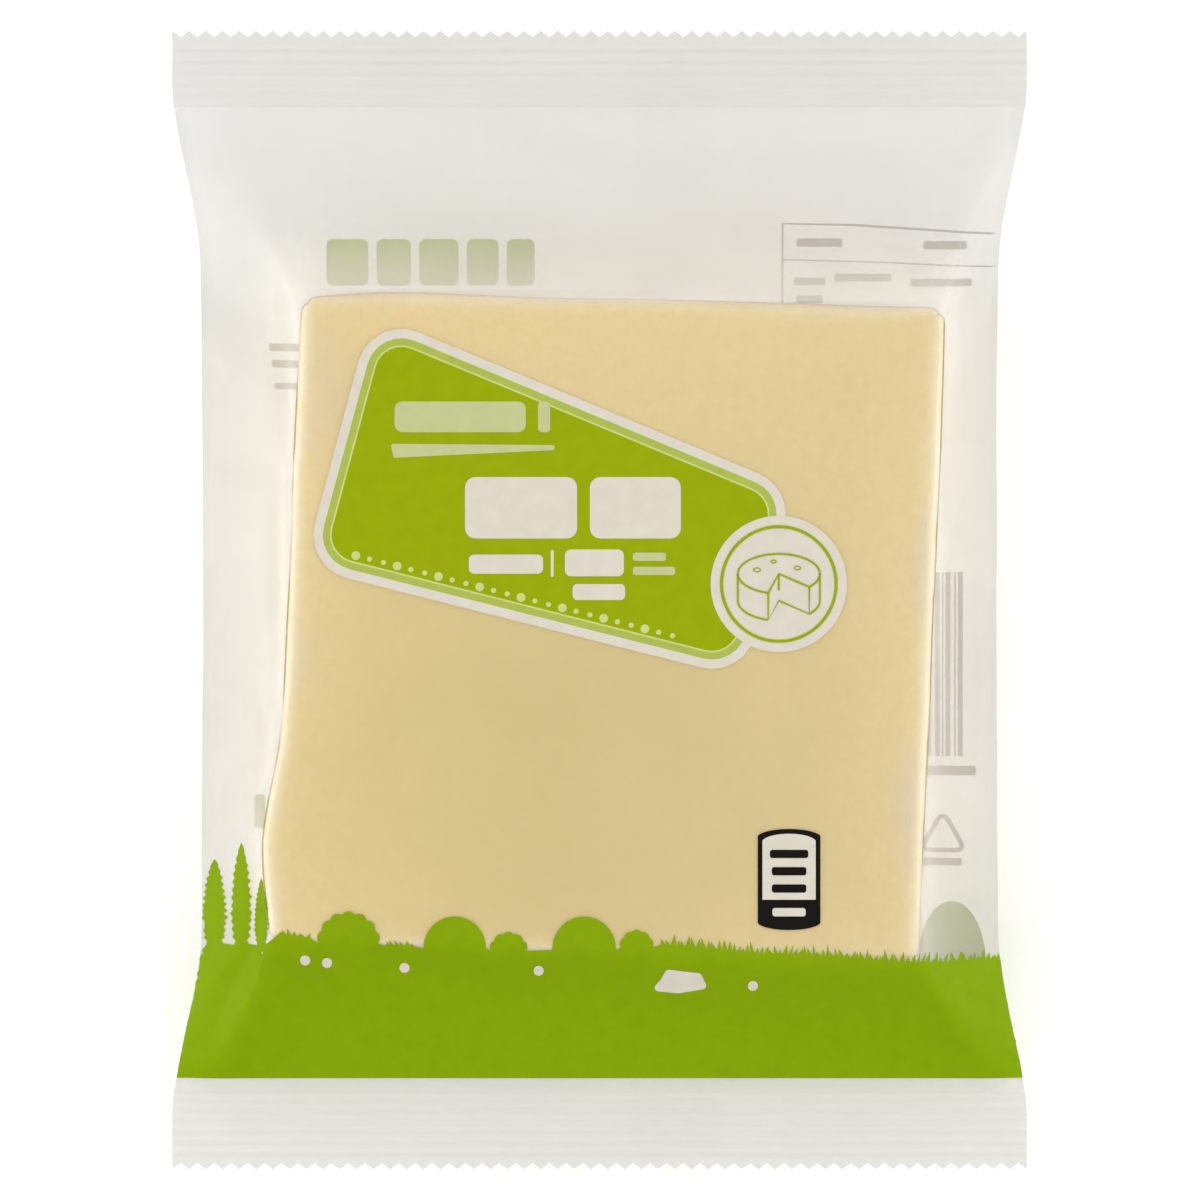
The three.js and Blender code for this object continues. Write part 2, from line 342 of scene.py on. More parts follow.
class Nodes:
    """A material's node tree, built in a few words."""

    def __init__(self, name):
        self.material = bpy.data.materials.new(name)
        self.material.use_nodes = True
        self.tree = self.material.node_tree
        self.shader = self.tree.nodes["Principled BSDF"]
        self.place = self.add("ShaderNodeTexCoord").outputs["Object"]

    def add(self, kind, **values):
        node = self.tree.nodes.new(kind)
        for key, value in values.items():
            setattr(node, key, value)
        return node

    def link(self, output, socket):
        self.tree.links.new(output, socket)

    def noise(self, size, detail=1.0):
        """Noise from about 0.3 to 0.7, whose patches have a size in metres."""
        node = self.add("ShaderNodeTexNoise")
        node.inputs["Scale"].default_value = 1 / size
        node.inputs["Detail"].default_value = detail
        self.link(self.place, node.inputs["Vector"])
        return node.outputs["Fac"]

    def spread(self, value, low, high, to_low=0.0, to_high=1.0):
        """Maps a value from one range to another, without leaving it."""
        node = self.add("ShaderNodeMapRange")
        names = ("From Min", "From Max", "To Min", "To Max")
        for name, limit in zip(names, (low, high, to_low, to_high)):
            node.inputs[name].default_value = limit
        self.link(value, node.inputs["Value"])
        return node.outputs["Result"]

    def times(self, first, second):
        node = self.add("ShaderNodeMath", operation="MULTIPLY", use_clamp=True)
        self.link(first, node.inputs[0])
        self.link(second, node.inputs[1])
        return node.outputs[0]

    def attribute(self, name):
        return self.add("ShaderNodeAttribute", attribute_name=name).outputs["Fac"]

    def blend(self, first, second, share):
        """A colour between two, each a colour or another node's output."""
        node = self.add("ShaderNodeMix", data_type="RGBA")
        for name, colour in (("A_Color", first), ("B_Color", second)):
            socket = next(s for s in node.inputs if s.identifier == name)
            if isinstance(colour, bpy.types.NodeSocket):
                self.link(colour, socket)
            else:
                socket.default_value = (*colour, 1.0)
        self.link(share, next(s for s in node.inputs if s.identifier == "Factor_Float"))
        return next(s for s in node.outputs if s.identifier == "Result_Color")

    def bump(self, height, distance, strength):
        node = self.add("ShaderNodeBump")
        node.inputs["Distance"].default_value = distance
        node.inputs["Strength"].default_value = strength
        self.link(height, node.inputs["Height"])
        self.link(node.outputs["Normal"], self.shader.inputs["Normal"])

    def set(self, **values):
        for key, value in values.items():
            self.shader.inputs[key.replace("_", " ")].default_value = value


def film_material(colours):
    """Clear film with a milky haze, which each piece's own haze attribute gives in shares."""
    nodes = Nodes("clear film")
    tint = nodes.spread(nodes.noise(60 * MM), 0.35, 0.65)
    warm = tuple(c * w for c, w in zip(colours.film, (1.0, 0.99, 0.96)))
    milk = nodes.blend(colours.film, warm, tint)
    # painted glow: by the block's edges the haze turns brighter and warmer, for light scattered
    # from the cheese and over the shade beside the block
    milk = nodes.blend(milk, colours.film_glow, nodes.attribute("near"))
    nodes.link(milk, nodes.shader.inputs["Base Color"])
    cloud = nodes.spread(nodes.noise(9 * MM), 0.3, 0.7, 0.93, 1.0)
    nodes.link(nodes.times(nodes.attribute("haze"), cloud), nodes.shader.inputs["Alpha"])
    sheen = nodes.spread(nodes.noise(4 * MM), 0.3, 0.7, 0.3, 0.42)
    nodes.link(sheen, nodes.shader.inputs["Roughness"])
    nodes.set(Specular_IOR_Level=0.35)
    nodes.bump(nodes.noise(1.6 * MM), 0.02 * MM, 0.5)
    return nodes.material


def cheese_material(colours):
    """Smooth cut cheese: faint clouds of paler colour, a fine grain and a soft depth."""
    nodes = Nodes("cheese")
    clouds = nodes.spread(nodes.noise(28 * MM, 2.0), 0.35, 0.65, 0.0, 0.3)
    base = nodes.blend(colours.cheese, colours.cheese_pale, nodes.attribute("edge"))
    base = nodes.blend(base, colours.cheese_pale, clouds)
    # painted highlight on the rounded edges, which also lifts their shade
    base = nodes.blend(base, colours.cheese_rim_light, nodes.attribute("rim"))
    grain = nodes.spread(nodes.noise(1.4 * MM, 2.0), 0.3, 0.7, 0.0, 0.18)
    dark = tuple(c * w for c, w in zip(colours.cheese, (0.93, 0.9, 0.82)))
    base = nodes.blend(base, dark, grain)
    nodes.link(base, nodes.shader.inputs["Base Color"])
    nodes.link(base, nodes.shader.inputs["Subsurface Radius"])
    nodes.set(
        Roughness=0.45,
        Subsurface_Weight=0.12,
        Subsurface_Scale=2.5 * MM,
        Specular_IOR_Level=0.3,
    )
    nodes.bump(nodes.noise(0.8 * MM, 2.0), 0.04 * MM, 0.6)
    return nodes.material


def ink_material(name, colour):
    """Printed ink with faint unevenness."""
    nodes = Nodes(name)
    patches = nodes.spread(nodes.noise(2.5 * MM, 2.0), 0.3, 0.7)
    thinner = tuple(clamp(c * 1.06) for c in colour)
    nodes.link(nodes.blend(colour, thinner, patches), nodes.shader.inputs["Base Color"])
    nodes.set(Roughness=0.5, Specular_IOR_Level=0.05)
    nodes.bump(nodes.noise(1.6 * MM), 0.02 * MM, 0.5)
    return nodes.material


# ---- The block of cheese ----

BLOCK_CORNER = 1.6 * MM  # rounding of the block's edges
SIDE_GAP = 0.2 * MM  # between its sides and the film's outside
BLOCK_TURN = 2.6 * MM  # rounding of its four upright edges, seen from the front
BLOCK_CUTS = 40
BLOCK_LOW = 0.24 * MM  # height of its lower face
BOX_EDGE_ANGLE = 1.0  # radians; only the twelve edges of a box fold more
UNEVEN_SIZE = 17 * MM  # of the faint hollows that the wire and the press leave in it
UNEVEN_DEPTH = 0.25 * MM
DEEPEST = Vector((-4, -32)) * MM  # where the cheese is darkest
EDGE_REACH = 18 * MM  # it is paler this far in from its sides
RIM_REACH = 3.4 * MM  # and palest this far in, a painted highlight on its rounded edges that also lifts their shade


def round_in_plan(place, half, radius):
    """Moves a place near one of a box's upright edges so that the edge becomes an arc."""
    away = Vector((abs(place.x) - half.x + radius, abs(place.y) - half.y + radius))
    if min(away) <= 0:
        return
    away *= 1 - max(away) / away.length
    place.x -= math.copysign(away.x, place.x)
    place.y -= math.copysign(away.y, place.y)


def block_mesh(inset, low, high, cuts, corner, segments):
    """The block's closed form: a box with rounded edges, bent to its four leaning sides."""
    bm = bmesh.new()
    bmesh.ops.create_cube(bm, size=2.0)
    width = block_right(0) - block_left(0) - 2 * inset
    length = block_top(0) - block_bottom(0) - 2 * inset
    half = Vector((width / 2, length / 2, (high - low) / 2))
    bmesh.ops.scale(bm, vec=half, verts=bm.verts[:])
    bmesh.ops.subdivide_edges(bm, edges=bm.edges[:], cuts=cuts, use_grid_fill=True)
    rim = [edge for edge in bm.edges if edge.calc_face_angle(0) > BOX_EDGE_ANGLE]
    form = {"profile": 0.5, "affect": "EDGES", "material": -1}
    bmesh.ops.bevel(bm, geom=rim, offset=corner, segments=segments, **form)
    for vertex in bm.verts:
        round_in_plan(vertex.co, half, BLOCK_TURN)
        u = vertex.co.x / half.x
        v = vertex.co.y / half.y
        x, y = block_point(u, v)
        vertex.co.x = x - inset * u
        vertex.co.y = y - inset * v
        vertex.co.z += (low + high) / 2
    bmesh.ops.recalc_face_normals(bm, faces=bm.faces[:])
    return bm


class PACK_OT_cheese_block(bpy.types.Operator):
    """Cut the block of cheese, with slightly uneven faces and rounded edges"""

    bl_idname = "cheese_pack.cheese_block"
    bl_label = "Cheese Block"

    def execute(self, context):
        high = PACK_SIZE.z - FILM_GAP
        bm = block_mesh(SIDE_GAP, BLOCK_LOW, high, BLOCK_CUTS, BLOCK_CORNER, 4)
        for vertex in bm.verts:
            at = vertex.co / UNEVEN_SIZE
            away = Vector((noise.noise(at), noise.noise(at + Vector((7.0, 0.0, 3.0))), 0.0))
            vertex.co += away * UNEVEN_DEPTH
        block = new_object("cheese_block", bm)
        edges, painted_rim_lights = point_shares(block.data, "edge", "rim")
        for vertex, edge, rim in zip(block.data.vertices, edges, painted_rim_lights):
            aside, along = inside_block(*vertex.co.xy)
            apart = (vertex.co.xy - DEEPEST).length
            pale = 0.75 * smoothstep(apart, 10 * MM, 70 * MM)
            edge.value = pale + 0.25 * (1 - smoothstep(min(aside, along), MM, EDGE_REACH))
            # the rim share is a painted highlight on the block's rounded edges, which also lifts
            # their shade
            at_side = 1 - smoothstep(aside, 0.4 * MM, RIM_REACH)
            at_end = 1 - smoothstep(along, 0.4 * MM, RIM_REACH)
            rim.value = max(at_side, 0.4 * at_end)
        smoothed(block)
        finish_piece(block, cheese_material(context.scene.pack_colours), "cheese")
        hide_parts(NODE)
        return {"FINISHED"}


# ---- The film tube ----

SEAM_FLOOR = 0.02 * MM  # lowest height of the back film
FLOOR_EASE = 0.35 * MM  # it meets the floor in a soft curve
SHEET_GAP = 0.2 * MM  # front and back film keep this apart inside the tube
RIPPLE = 0.12 * MM  # height of the start shape's ripples, which let the film crease unevenly

# The form that the film settles on is a little smaller and rounder than the block.
COLLIDER_CLEARANCE = 0.15 * MM
COLLIDER_RISE = 0.3 * MM  # of its faces, in from the floor and from the pack's top
COLLIDER_CORNER = 1.8 * MM
COLLIDER_SETTINGS = {
    "thickness_outer": 0.002,
    "thickness_inner": 0.05,
    "cloth_friction": 2.0,
    "damping": 0.1,
}
CLOTH_SETTINGS = {
    "quality": 8,
    "mass": 0.15,
    "tension_stiffness": 60,
    "compression_stiffness": 60,
    "shear_stiffness": 30,
    "tension_damping": 3,
    "compression_damping": 3,
    "shear_damping": 3,
    "bending_damping": 0.5,
    "air_damping": 1.0,
    "pin_stiffness": 5,
    "use_pressure": True,
}


def tube_mesh():
    """The film tube in its start shape. Each vertex keeps its place on the flat tube."""
    bm = bmesh.new()
    flat = bm.verts.layers.float_vector.new("flat")
    bmesh.ops.create_grid(bm, x_segments=CLOTH_COLUMNS, y_segments=CLOTH_ROWS, size=1.0)
    for vertex in bm.verts:
        vertex[flat] = Vector((vertex.co.x, vertex.co.y, 1.0))
    copied = bmesh.ops.duplicate(bm, geom=bm.verts[:] + bm.edges[:] + bm.faces[:])["geom"]
    for element in copied:
        if isinstance(element, bmesh.types.BMFace):
            element.normal_flip()
        if isinstance(element, bmesh.types.BMVert):
            element[flat].z = -1.0
    for vertex in bm.verts:
        across, along, side = vertex[flat]
        y = along * SEAL_Y
        x = across * half_width(y)
        front, back = film_heights(x, y)
        ripple = RIPPLE * math.sin(110 * x + 170 * y) * math.sin(130 * y - 70 * x)
        ripple *= 1 - abs(along) ** 8
        wave = fold_wave(y, x > 0) * min(1.0, abs(across)) ** 6
        height = (front if side > 0 else back) + wave + ripple
        if max(abs(across), abs(along)) < ON_EDGE:
            height += side * SHEET_GAP / 2
        vertex.co = Vector((x, y, height))
    bmesh.ops.remove_doubles(bm, verts=bm.verts[:], dist=0.01 * MM)
    return bm


def add_cloth(tube, sizes):
    """Makes the tube film that is pinned at its seals and held along its side folds."""
    tube.shape_key_add(name="Basis")
    flat_shape = tube.shape_key_add(name="flat tube")
    flat = [Vector(item.vector) for item in tube.data.attributes["flat"].data]
    folds, roots = [], []
    for index, (across, along, side) in enumerate(flat):
        on_fold = abs(across) > ON_EDGE
        on_seal = abs(along) > ON_EDGE
        if on_fold:
            folds.append(index)
        if on_seal:
            roots.append(index)
        apart = 0.0 if on_fold or on_seal else 0.05 * MM * side
        place = Vector((across * PACK_SIZE.x / 2, along * sizes.film_length / 2, apart))
        flat_shape.data[index].co = place * CLOTH_SCALE
    pin = tube.vertex_groups.new(name="pin")
    pin.add(folds, FOLD_HOLD, "REPLACE")
    pin.add(roots, 1.0, "REPLACE")

    cloth = tube.modifiers.new("Cloth", "CLOTH")
    cloth.point_cache.frame_start = 1
    cloth.point_cache.frame_end = CLOTH_FRAMES + 1
    settings = cloth.settings
    for name, value in CLOTH_SETTINGS.items():
        setattr(settings, name, value)
    settings.bending_stiffness = sizes.film_bending
    settings.vertex_group_mass = "pin"
    settings.uniform_pressure_force = sizes.film_pressure
    settings.rest_shape_key = flat_shape
    settings.effector_weights.gravity = 0
    cloth.collision_settings.distance_min = 0.004
    cloth.collision_settings.collision_quality = 4
    cloth.collision_settings.use_self_collision = False


def add_collider():
    """The form that the film settles on, at the cloth's scale."""
    high = PACK_SIZE.z - COLLIDER_RISE
    bm = block_mesh(COLLIDER_CLEARANCE, COLLIDER_RISE, high, 12, COLLIDER_CORNER, 3)
    bmesh.ops.scale(bm, vec=Vector((CLOTH_SCALE,) * 3), verts=bm.verts[:])
    collider = new_object("collider", bm)
    collider.modifiers.new("Collision", "COLLISION")
    for name, value in COLLIDER_SETTINGS.items():
        setattr(collider.collision, name, value)
    return collider


def settle(tube, sizes):
    """Draws the tube tight over the block, and returns its settled mesh at full size."""
    scene = bpy.context.scene
    tube.data.transform(Matrix.Scale(CLOTH_SCALE, 4))
    collider = add_collider()
    add_cloth(tube, sizes)
    first, last = scene.frame_start, scene.frame_end
    scene.frame_start, scene.frame_end = 1, CLOTH_FRAMES + 1
    for number in range(1, CLOTH_FRAMES + 1):
        scene.frame_set(number)
    settled = bpy.data.meshes.new_from_object(
        tube.evaluated_get(bpy.context.evaluated_depsgraph_get())
    )
    settled.transform(Matrix.Scale(1 / CLOTH_SCALE, 4))
    bpy.data.objects.remove(collider)
    scene.frame_set(1)
    scene.frame_start, scene.frame_end = first, last
    return settled


def tidy_tube(bm):
    """Keeps the two sheets apart where they crossed, and the back film off the floor."""
    flat = bm.verts.layers.float_vector["flat"]
    partners = {}
    for vertex in bm.verts:
        across, along, side = vertex[flat]
        partners.setdefault((round(across, 4), round(along, 4)), {})[side > 0] = vertex
    for pair in partners.values():
        if len(pair) < 2:
            continue
        front, back = pair[True], pair[False]
        apart = front.co.z - back.co.z
        if apart < SHEET_GAP:
            middle = (front.co + back.co) / 2
            front.co = middle + Vector((0, 0, SHEET_GAP / 2))
            back.co = middle - Vector((0, 0, SHEET_GAP / 2))
    for vertex in bm.verts:
        on_fin = smoothstep(vertex.co.x, FIN_LEFT - 2 * MM, FIN_LEFT)
        on_fin *= 1 - smoothstep(vertex.co.x, FIN_LEFT + FIN_WIDTH, FIN_LEFT + FIN_WIDTH + 2 * MM)
        lowest = SEAM_FLOOR + on_fin * FIN_THICKNESS
        above = vertex.co.z - lowest
        if vertex[flat].z < 0 or above < 0:
            above = (above + math.hypot(above, FLOOR_EASE)) / 2
        vertex.co.z = lowest + above


HAZE_OFF = 0.42  # share of what lies behind that one sheet of film hides
HAZE_ON = 0.08  # and where it clings to the middle of the cheese
HAZE_LEAN = 7.0  # by how much more to the right of the middle, as a share for each metre
HAZE_NEAR = 0.54  # and beside the block and over its edges, where more haze of a painted glow colour covers the shade
HAZE_FOLD = 0.54  # and in the side folds
CLING_NEAR = 0.3 * MM  # film this close to the cheese clings to it
CLING_FAR = 1.4 * MM  # and this far off it is fully milky
NEAR_OUT = 13 * MM  # how far the painted glow reaches out from the block's edges
NEAR_IN = 2 * MM  # and in
NEAR_SIDES = 0.6  # how strong the painted glow is beside the block, where it is 1 above and below it


def glow_at(x, y):
    """How strongly the block's edges give the front film its painted glow and more haze, from 0 to
    1.
    """
    aside, strip = beside_block(x, y)
    along = max(y - block_top(x), block_bottom(x) - y)
    aside /= NEAR_IN if aside < 0 else min(NEAR_OUT, 0.8 * strip)
    along /= NEAR_IN if along < 0 else NEAR_OUT
    if max(aside, along) < 0:
        return smoothstep(max(aside, along), -1.0, 0.0)
    share = 1 - math.hypot(max(aside, 0.0), max(along, 0.0))
    sideways = smoothstep(aside - along, -0.4, 0.4) * smoothstep(aside, 0.0, 0.25)
    return lerp(1.0, NEAR_SIDES, sideways) * smoothstep(share, 0.0, 1.0)


def add_haze(mesh, cheese):
    """Film that clings to the cheese looks clear, and film that stands off it looks milky. By the
    block's edges it is milkier still and takes a painted glow, brighter and warmer, which stands
    in for light that the cheese scatters into it and covers the shade beside the block.
    """
    hazes, painted_glows = point_shares(mesh, "haze", "near")
    places = mesh.attributes["flat"].data
    for vertex, place, haze, near in zip(mesh.vertices, places, hazes, painted_glows):
        distance = cheese.find_nearest(vertex.co)[3]
        # the share of painted glow round the block's edges: brighter, warmer and milkier film
        glow_share = glow_at(*vertex.co.xy) if place.vector[2] > 0 else 0.0
        value = HAZE_ON * (1 + HAZE_LEAN * vertex.co.x)
        value = lerp(value, HAZE_OFF, smoothstep(distance, CLING_NEAR, CLING_FAR))
        value = lerp(value, HAZE_NEAR, glow_share)
        haze.value = lerp(value, HAZE_FOLD, smoothstep(abs(place.vector[0]), 0.97, 1.0))
        near.value = glow_share


class PACK_OT_film_tube(bpy.types.Operator):
    """Wrap the block in the film tube and let the film settle on it"""

    bl_idname = "cheese_pack.film_tube"
    bl_label = "Film Tube"

    def execute(self, context):
        tube = new_object("film", tube_mesh())
        settled = settle(tube, context.scene.pack_sizes)
        bpy.data.objects.remove(tube)
        tube = bpy.data.objects.new("film", settled)
        context.scene.collection.objects.link(tube)
        bm = bmesh.new()
        bm.from_mesh(tube.data)
        tidy_tube(bm)
        flat = bm.verts.layers.float_vector["flat"]
        crease = bm.edges.layers.float.new("crease_edge")
        for edge in bm.edges:
            at_root = all(abs(vertex[flat].y) > ON_EDGE for vertex in edge.verts)
            at_fold = all(abs(vertex[flat].x) > ON_EDGE for vertex in edge.verts)
            if at_root or at_fold:
                edge[crease] = 1.0 if at_root else FOLD_CREASE
                edge.smooth = False
        bpy.data.objects.remove(tube)
        film = new_object("film", bm)
        add_haze(film.data, surface_of(bpy.data.objects["cheese_block"]))
        smoothed(film)
        finish_piece(film, film_material(context.scene.pack_colours), "film")
        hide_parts(NODE)
        return {"FINISHED"}


# ---- The seals and the seam ----

SEAL_ROOT = 0.05 * MM  # how far the seals reach into the tube
SEAL_ROWS = 62
TOOTH_STEPS = 4  # grid columns in one tooth
FIRST_GROOVE = {1: 0.0, -1: 0.96 * MM}  # from the root of the upper and the lower seal
GROOVE_WIDTH = 0.45 * MM
HAZE_SEAL = {1: 0.54, -1: 0.46}  # of the upper and the lower seal
# more haze in the grooves: painted shade, which darkens them
HAZE_GROOVE = 0.045
HAZE_FIN = 0.03
TRIM_REACH = 2.2 * MM  # the knife's teeth grow over this length
SEAL_RIPPLE = 0.25 * MM
FIN_GAP = 0.02 * MM  # between the film and the fin
FIN_DEPTH = FIN_THICKNESS - 0.03 * MM


def seal_height(out):
    share = clamp(out / SEAL_LENGTH)
    return FOLD_HEIGHT - SEAL_DROOP * share * share


def groove_share(out, first, sizes):
    """How deep in a groove a place on a seal lies, from 0 to 1."""
    share = 0.0
    for number in range(sizes.crimp_count):
        away = (out - first - number * sizes.crimp_pitch) / GROOVE_WIDTH
        share += math.exp(-away * away)
    return clamp(share)


def seal_mesh(end, sizes):
    """One crimped seal: two films pressed flat, with grooves across and a zigzag end. The
    grooves get more haze than the ridges: painted shade, which darkens them."""
    bm = bmesh.new()
    haze = bm.verts.layers.float.new("haze")
    columns = sizes.tooth_count * TOOTH_STEPS
    bmesh.ops.create_grid(bm, x_segments=columns, y_segments=SEAL_ROWS, size=1.0)
    for vertex in bm.verts:
        across = vertex.co.x
        out = lerp(-SEAL_ROOT, SEAL_LENGTH, (vertex.co.y + 1) / 2)
        step = (across + 1) / 2 * columns / TOOTH_STEPS
        valley = 1 - abs(2 * (step % 1.0) - 1)
        trim = smoothstep(out, SEAL_LENGTH - TRIM_REACH, SEAL_LENGTH)
        out -= sizes.tooth_depth * valley * trim
        y = SEAL_Y + out
        x = across * half_width(y)
        ripple = SEAL_RIPPLE * math.sin(95 * x + end) * clamp(out / SEAL_LENGTH)
        groove = groove_share(out, FIRST_GROOVE[end], sizes)
        thick = seal_thickness(out, sizes)
        z = seal_height(out) - groove * sizes.crimp_depth + ripple
        vertex.co = Vector((x, end * y, z + thick / 2))
        vertex[haze] = HAZE_SEAL[end] + HAZE_GROOVE * groove
    thicken(bm, lambda vertex: Vector((0, 0, -seal_thickness(abs(vertex.co.y) - SEAL_Y, sizes))))
    return bm


def seal_thickness(out, sizes):
    """The seal starts as thin as an edge, where the tube's two films run into it."""
    return sizes.seal_thickness * lerp(0.15, 1.0, smoothstep(out, 0.0, 1.2 * MM))


class PACK_OT_end_seals(bpy.types.Operator):
    """Press the two crimped end seals and cut their zigzag ends"""

    bl_idname = "cheese_pack.end_seals"
    bl_label = "End Seals"

    def execute(self, context):
        material = bpy.data.objects["film"].data.materials[0]
        for name, end in (("seal_top", 1), ("seal_bottom", -1)):
            seal = new_object(name, seal_mesh(end, context.scene.pack_sizes))
            finish_piece(seal, material, "film")
        return {"FINISHED"}


class PACK_OT_back_seam(bpy.types.Operator):
    """Fold the lengthwise seam's fin flat on the back of the pack"""

    bl_idname = "cheese_pack.back_seam"
    bl_label = "Back Seam"

    def execute(self, context):
        names = ("film", "seal_top", "seal_bottom")
        surface = surface_of(*(bpy.data.objects[name] for name in names))
        bm = bmesh.new()
        bmesh.ops.create_grid(bm, x_segments=14, y_segments=200, size=1.0)
        reach = PACK_SIZE.y / 2 - context.scene.pack_sizes.tooth_depth - 0.2 * MM
        for vertex in bm.verts:
            x = FIN_LEFT + FIN_WIDTH * (vertex.co.x + 1) / 2
            y = vertex.co.y * reach
            hit, normal, _, _ = surface.ray_cast(Vector((x, y, -MM)), Vector((0, 0, 1)))
            if hit is None:
                raise RuntimeError("the seam's fin misses the film")
            vertex.co = hit + normal * FIN_GAP
        thicken(bm, lambda vertex: Vector((0, 0, -FIN_DEPTH)))
        fin = new_object("back_seam", bm)
        for item in point_shares(fin.data, "haze")[0]:
            item.value = HAZE_FIN
        finish_piece(fin, bpy.data.objects["film"].data.materials[0], "film")
        return {"FINISHED"}


# ---- Drawing the print ----
# A shape is a list of rings, an outer one and any holes, and a ring is a list of points.


def ellipse(centre, radii, start=0.0, end=360.0, steps=40):
    """Points round an ellipse or part of it, in degrees. A full one doesn't repeat its start."""
    full = abs(end - start) >= 360
    count = steps if full else steps + 1
    points = []
    for number in range(count):
        angle = math.radians(lerp(start, end, number / steps))
        away = Vector((radii[0] * math.cos(angle), radii[1] * math.sin(angle)))
        points.append(Vector(centre) + away)
    return points


def rounded(corners, radius, steps=6):
    """A polygon's outline with every corner turned into an arc."""
    corners = [Vector(corner) for corner in corners]
    points = []
    for index, corner in enumerate(corners):
        back = (corners[index - 1] - corner).normalized()
        ahead = (corners[(index + 1) % len(corners)] - corner).normalized()
        half = back.angle(ahead) / 2
        centre = corner + (back + ahead).normalized() * radius / math.sin(half)
        first = corner + back * radius / math.tan(half) - centre
        last = corner + ahead * radius / math.tan(half) - centre
        turn = first.angle_signed(last)
        for step in range(steps + 1):
            spoke = first.copy()
            spoke.rotate(Matrix.Rotation(-turn * step / steps, 2))
            points.append(centre + spoke)
    return points


def bar(left, bottom, width, height, radius):
    """A bar with rounded corners."""
    right, top = left + width, bottom + height
    return [rounded([(left, bottom), (right, bottom), (right, top), (left, top)], radius, 4)]


def grown(ring, distance):
    """A counter-clockwise ring moved outwards by a distance, or inwards by a negative one."""
    moved = []
    for index, point in enumerate(ring):
        along = ring[(index + 1) % len(ring)] - ring[index - 1]
        out = Vector((along.y, -along.x)).normalized()
        moved.append(point + out * distance)
    return moved


def stroke(points, width, closed=False):
    """A line of some width along points."""
    points = [Vector(point) for point in points]
    if closed:
        return [grown(points, width / 2), grown(points, -width / 2)]
    left, right = [], []
    for index, point in enumerate(points):
        along = points[min(index + 1, len(points) - 1)] - points[max(index - 1, 0)]
        out = Vector((along.y, -along.x)).normalized() * width / 2
        left.append(point - out)
        right.append(point + out)
    return [left + right[::-1]]


def turned(shape, degrees, centre):
    """A shape turned counter-clockwise about the origin, and then moved to a centre."""
    rotation = Matrix.Rotation(math.radians(degrees), 2)
    return [[rotation @ Vector(point) + Vector(centre) for point in ring] for ring in shape]


def scaled_mm(shape):
    """A shape drawn in millimetres, in metres."""
    return [[Vector(point) * MM for point in ring] for ring in shape]


def grid_lines(low, high, step):
    count = max(1, math.ceil((high - low) / step))
    return [lerp(low, high, number / count) for number in range(1, count)]


def filled(shapes, step):
    """Flat faces that fill the shapes, cut along a square grid so that they can bend."""
    bm = bmesh.new()
    for rings in shapes:
        edges = []
        for ring in rings:
            vertices = [bm.verts.new((point[0], point[1], 0.0)) for point in ring]
            for index, vertex in enumerate(vertices):
                edges.append(bm.edges.new((vertex, vertices[index - 1])))
        bmesh.ops.triangle_fill(bm, use_beauty=True, edges=edges)
    for axis in (0, 1):
        places = [vertex.co[axis] for vertex in bm.verts]
        normal = Vector((0, 0, 0))
        normal[axis] = 1.0
        for place in grid_lines(min(places), max(places), step):
            geometry = bm.verts[:] + bm.edges[:] + bm.faces[:]
            bmesh.ops.bisect_plane(
                bm, geom=geometry, dist=1e-7, plane_co=normal * place, plane_no=normal
            )
    return bm


FRONT_LIFT = 0.16 * MM  # gap between the film and its print, which clears its creases
BACK_LIFT = 0.02 * MM
LAYER_LIFT = 0.08 * MM  # from the bottom of one layer of print to that of the next
FINISHED = {}


def film_surface():
    """The film's finished surface, which the print is laid on."""
    if "film" not in FINISHED:
        FINISHED["film"] = surface_of(bpy.data.objects["film"])
    return FINISHED["film"]


def print_on(name, shapes, material, slot, side, layer=0, step=1.0 * MM):
    """Prints shapes, drawn in millimetres as seen from the front, on the film: on the outside
    of the front for side 1, and inside the back for side -1. Each layer lies over the last."""
    surface = film_surface()
    sizes = bpy.context.scene.pack_sizes
    lift = (FRONT_LIFT if side > 0 else BACK_LIFT) + layer * LAYER_LIFT
    bm = filled([scaled_mm(shape) for shape in shapes], step)
    for vertex in bm.verts:
        start = Vector((vertex.co.x, vertex.co.y, 100 * MM * side))
        hit, normal, _, _ = surface.ray_cast(start, Vector((0, 0, -side)))
        if hit is None:
            hit, normal, _, _ = surface.find_nearest(Vector((*vertex.co.xy, FOLD_HEIGHT)))
        vertex.co = hit + normal * lift * side
        vertex.normal = normal * side
    bmesh.ops.remove_doubles(bm, verts=bm.verts[:], dist=0.005 * MM)
    thicken(bm, lambda vertex: vertex.normal * sizes.ink_thickness)
    piece = new_object(name, bm)
    finish_piece(piece, material, slot)


# ---- The front label ----

LABEL_TURN = -15.0  # degrees
LABEL_CENTRE = (-6.0, 14.5)  # millimetres, as all of the print is drawn
LABEL_CORNERS = ((-35.0, -18.0), (33.0, -17.0), (33.0, 11.0), (-35.0, 20.0))
LABEL_ROUNDING = 5.5
OUTLINE_WIDTH = 1.45
RIM_WIDTH = 1.1
FINE_LINE = 0.26

WHEEL_CENTRE = (28.0, 2.5)
WHEEL_RADIUS = 9.2


def label_ring(distance):
    ring = grown(rounded(LABEL_CORNERS, LABEL_ROUNDING), distance)
    return turned([ring], LABEL_TURN, LABEL_CENTRE)[0]


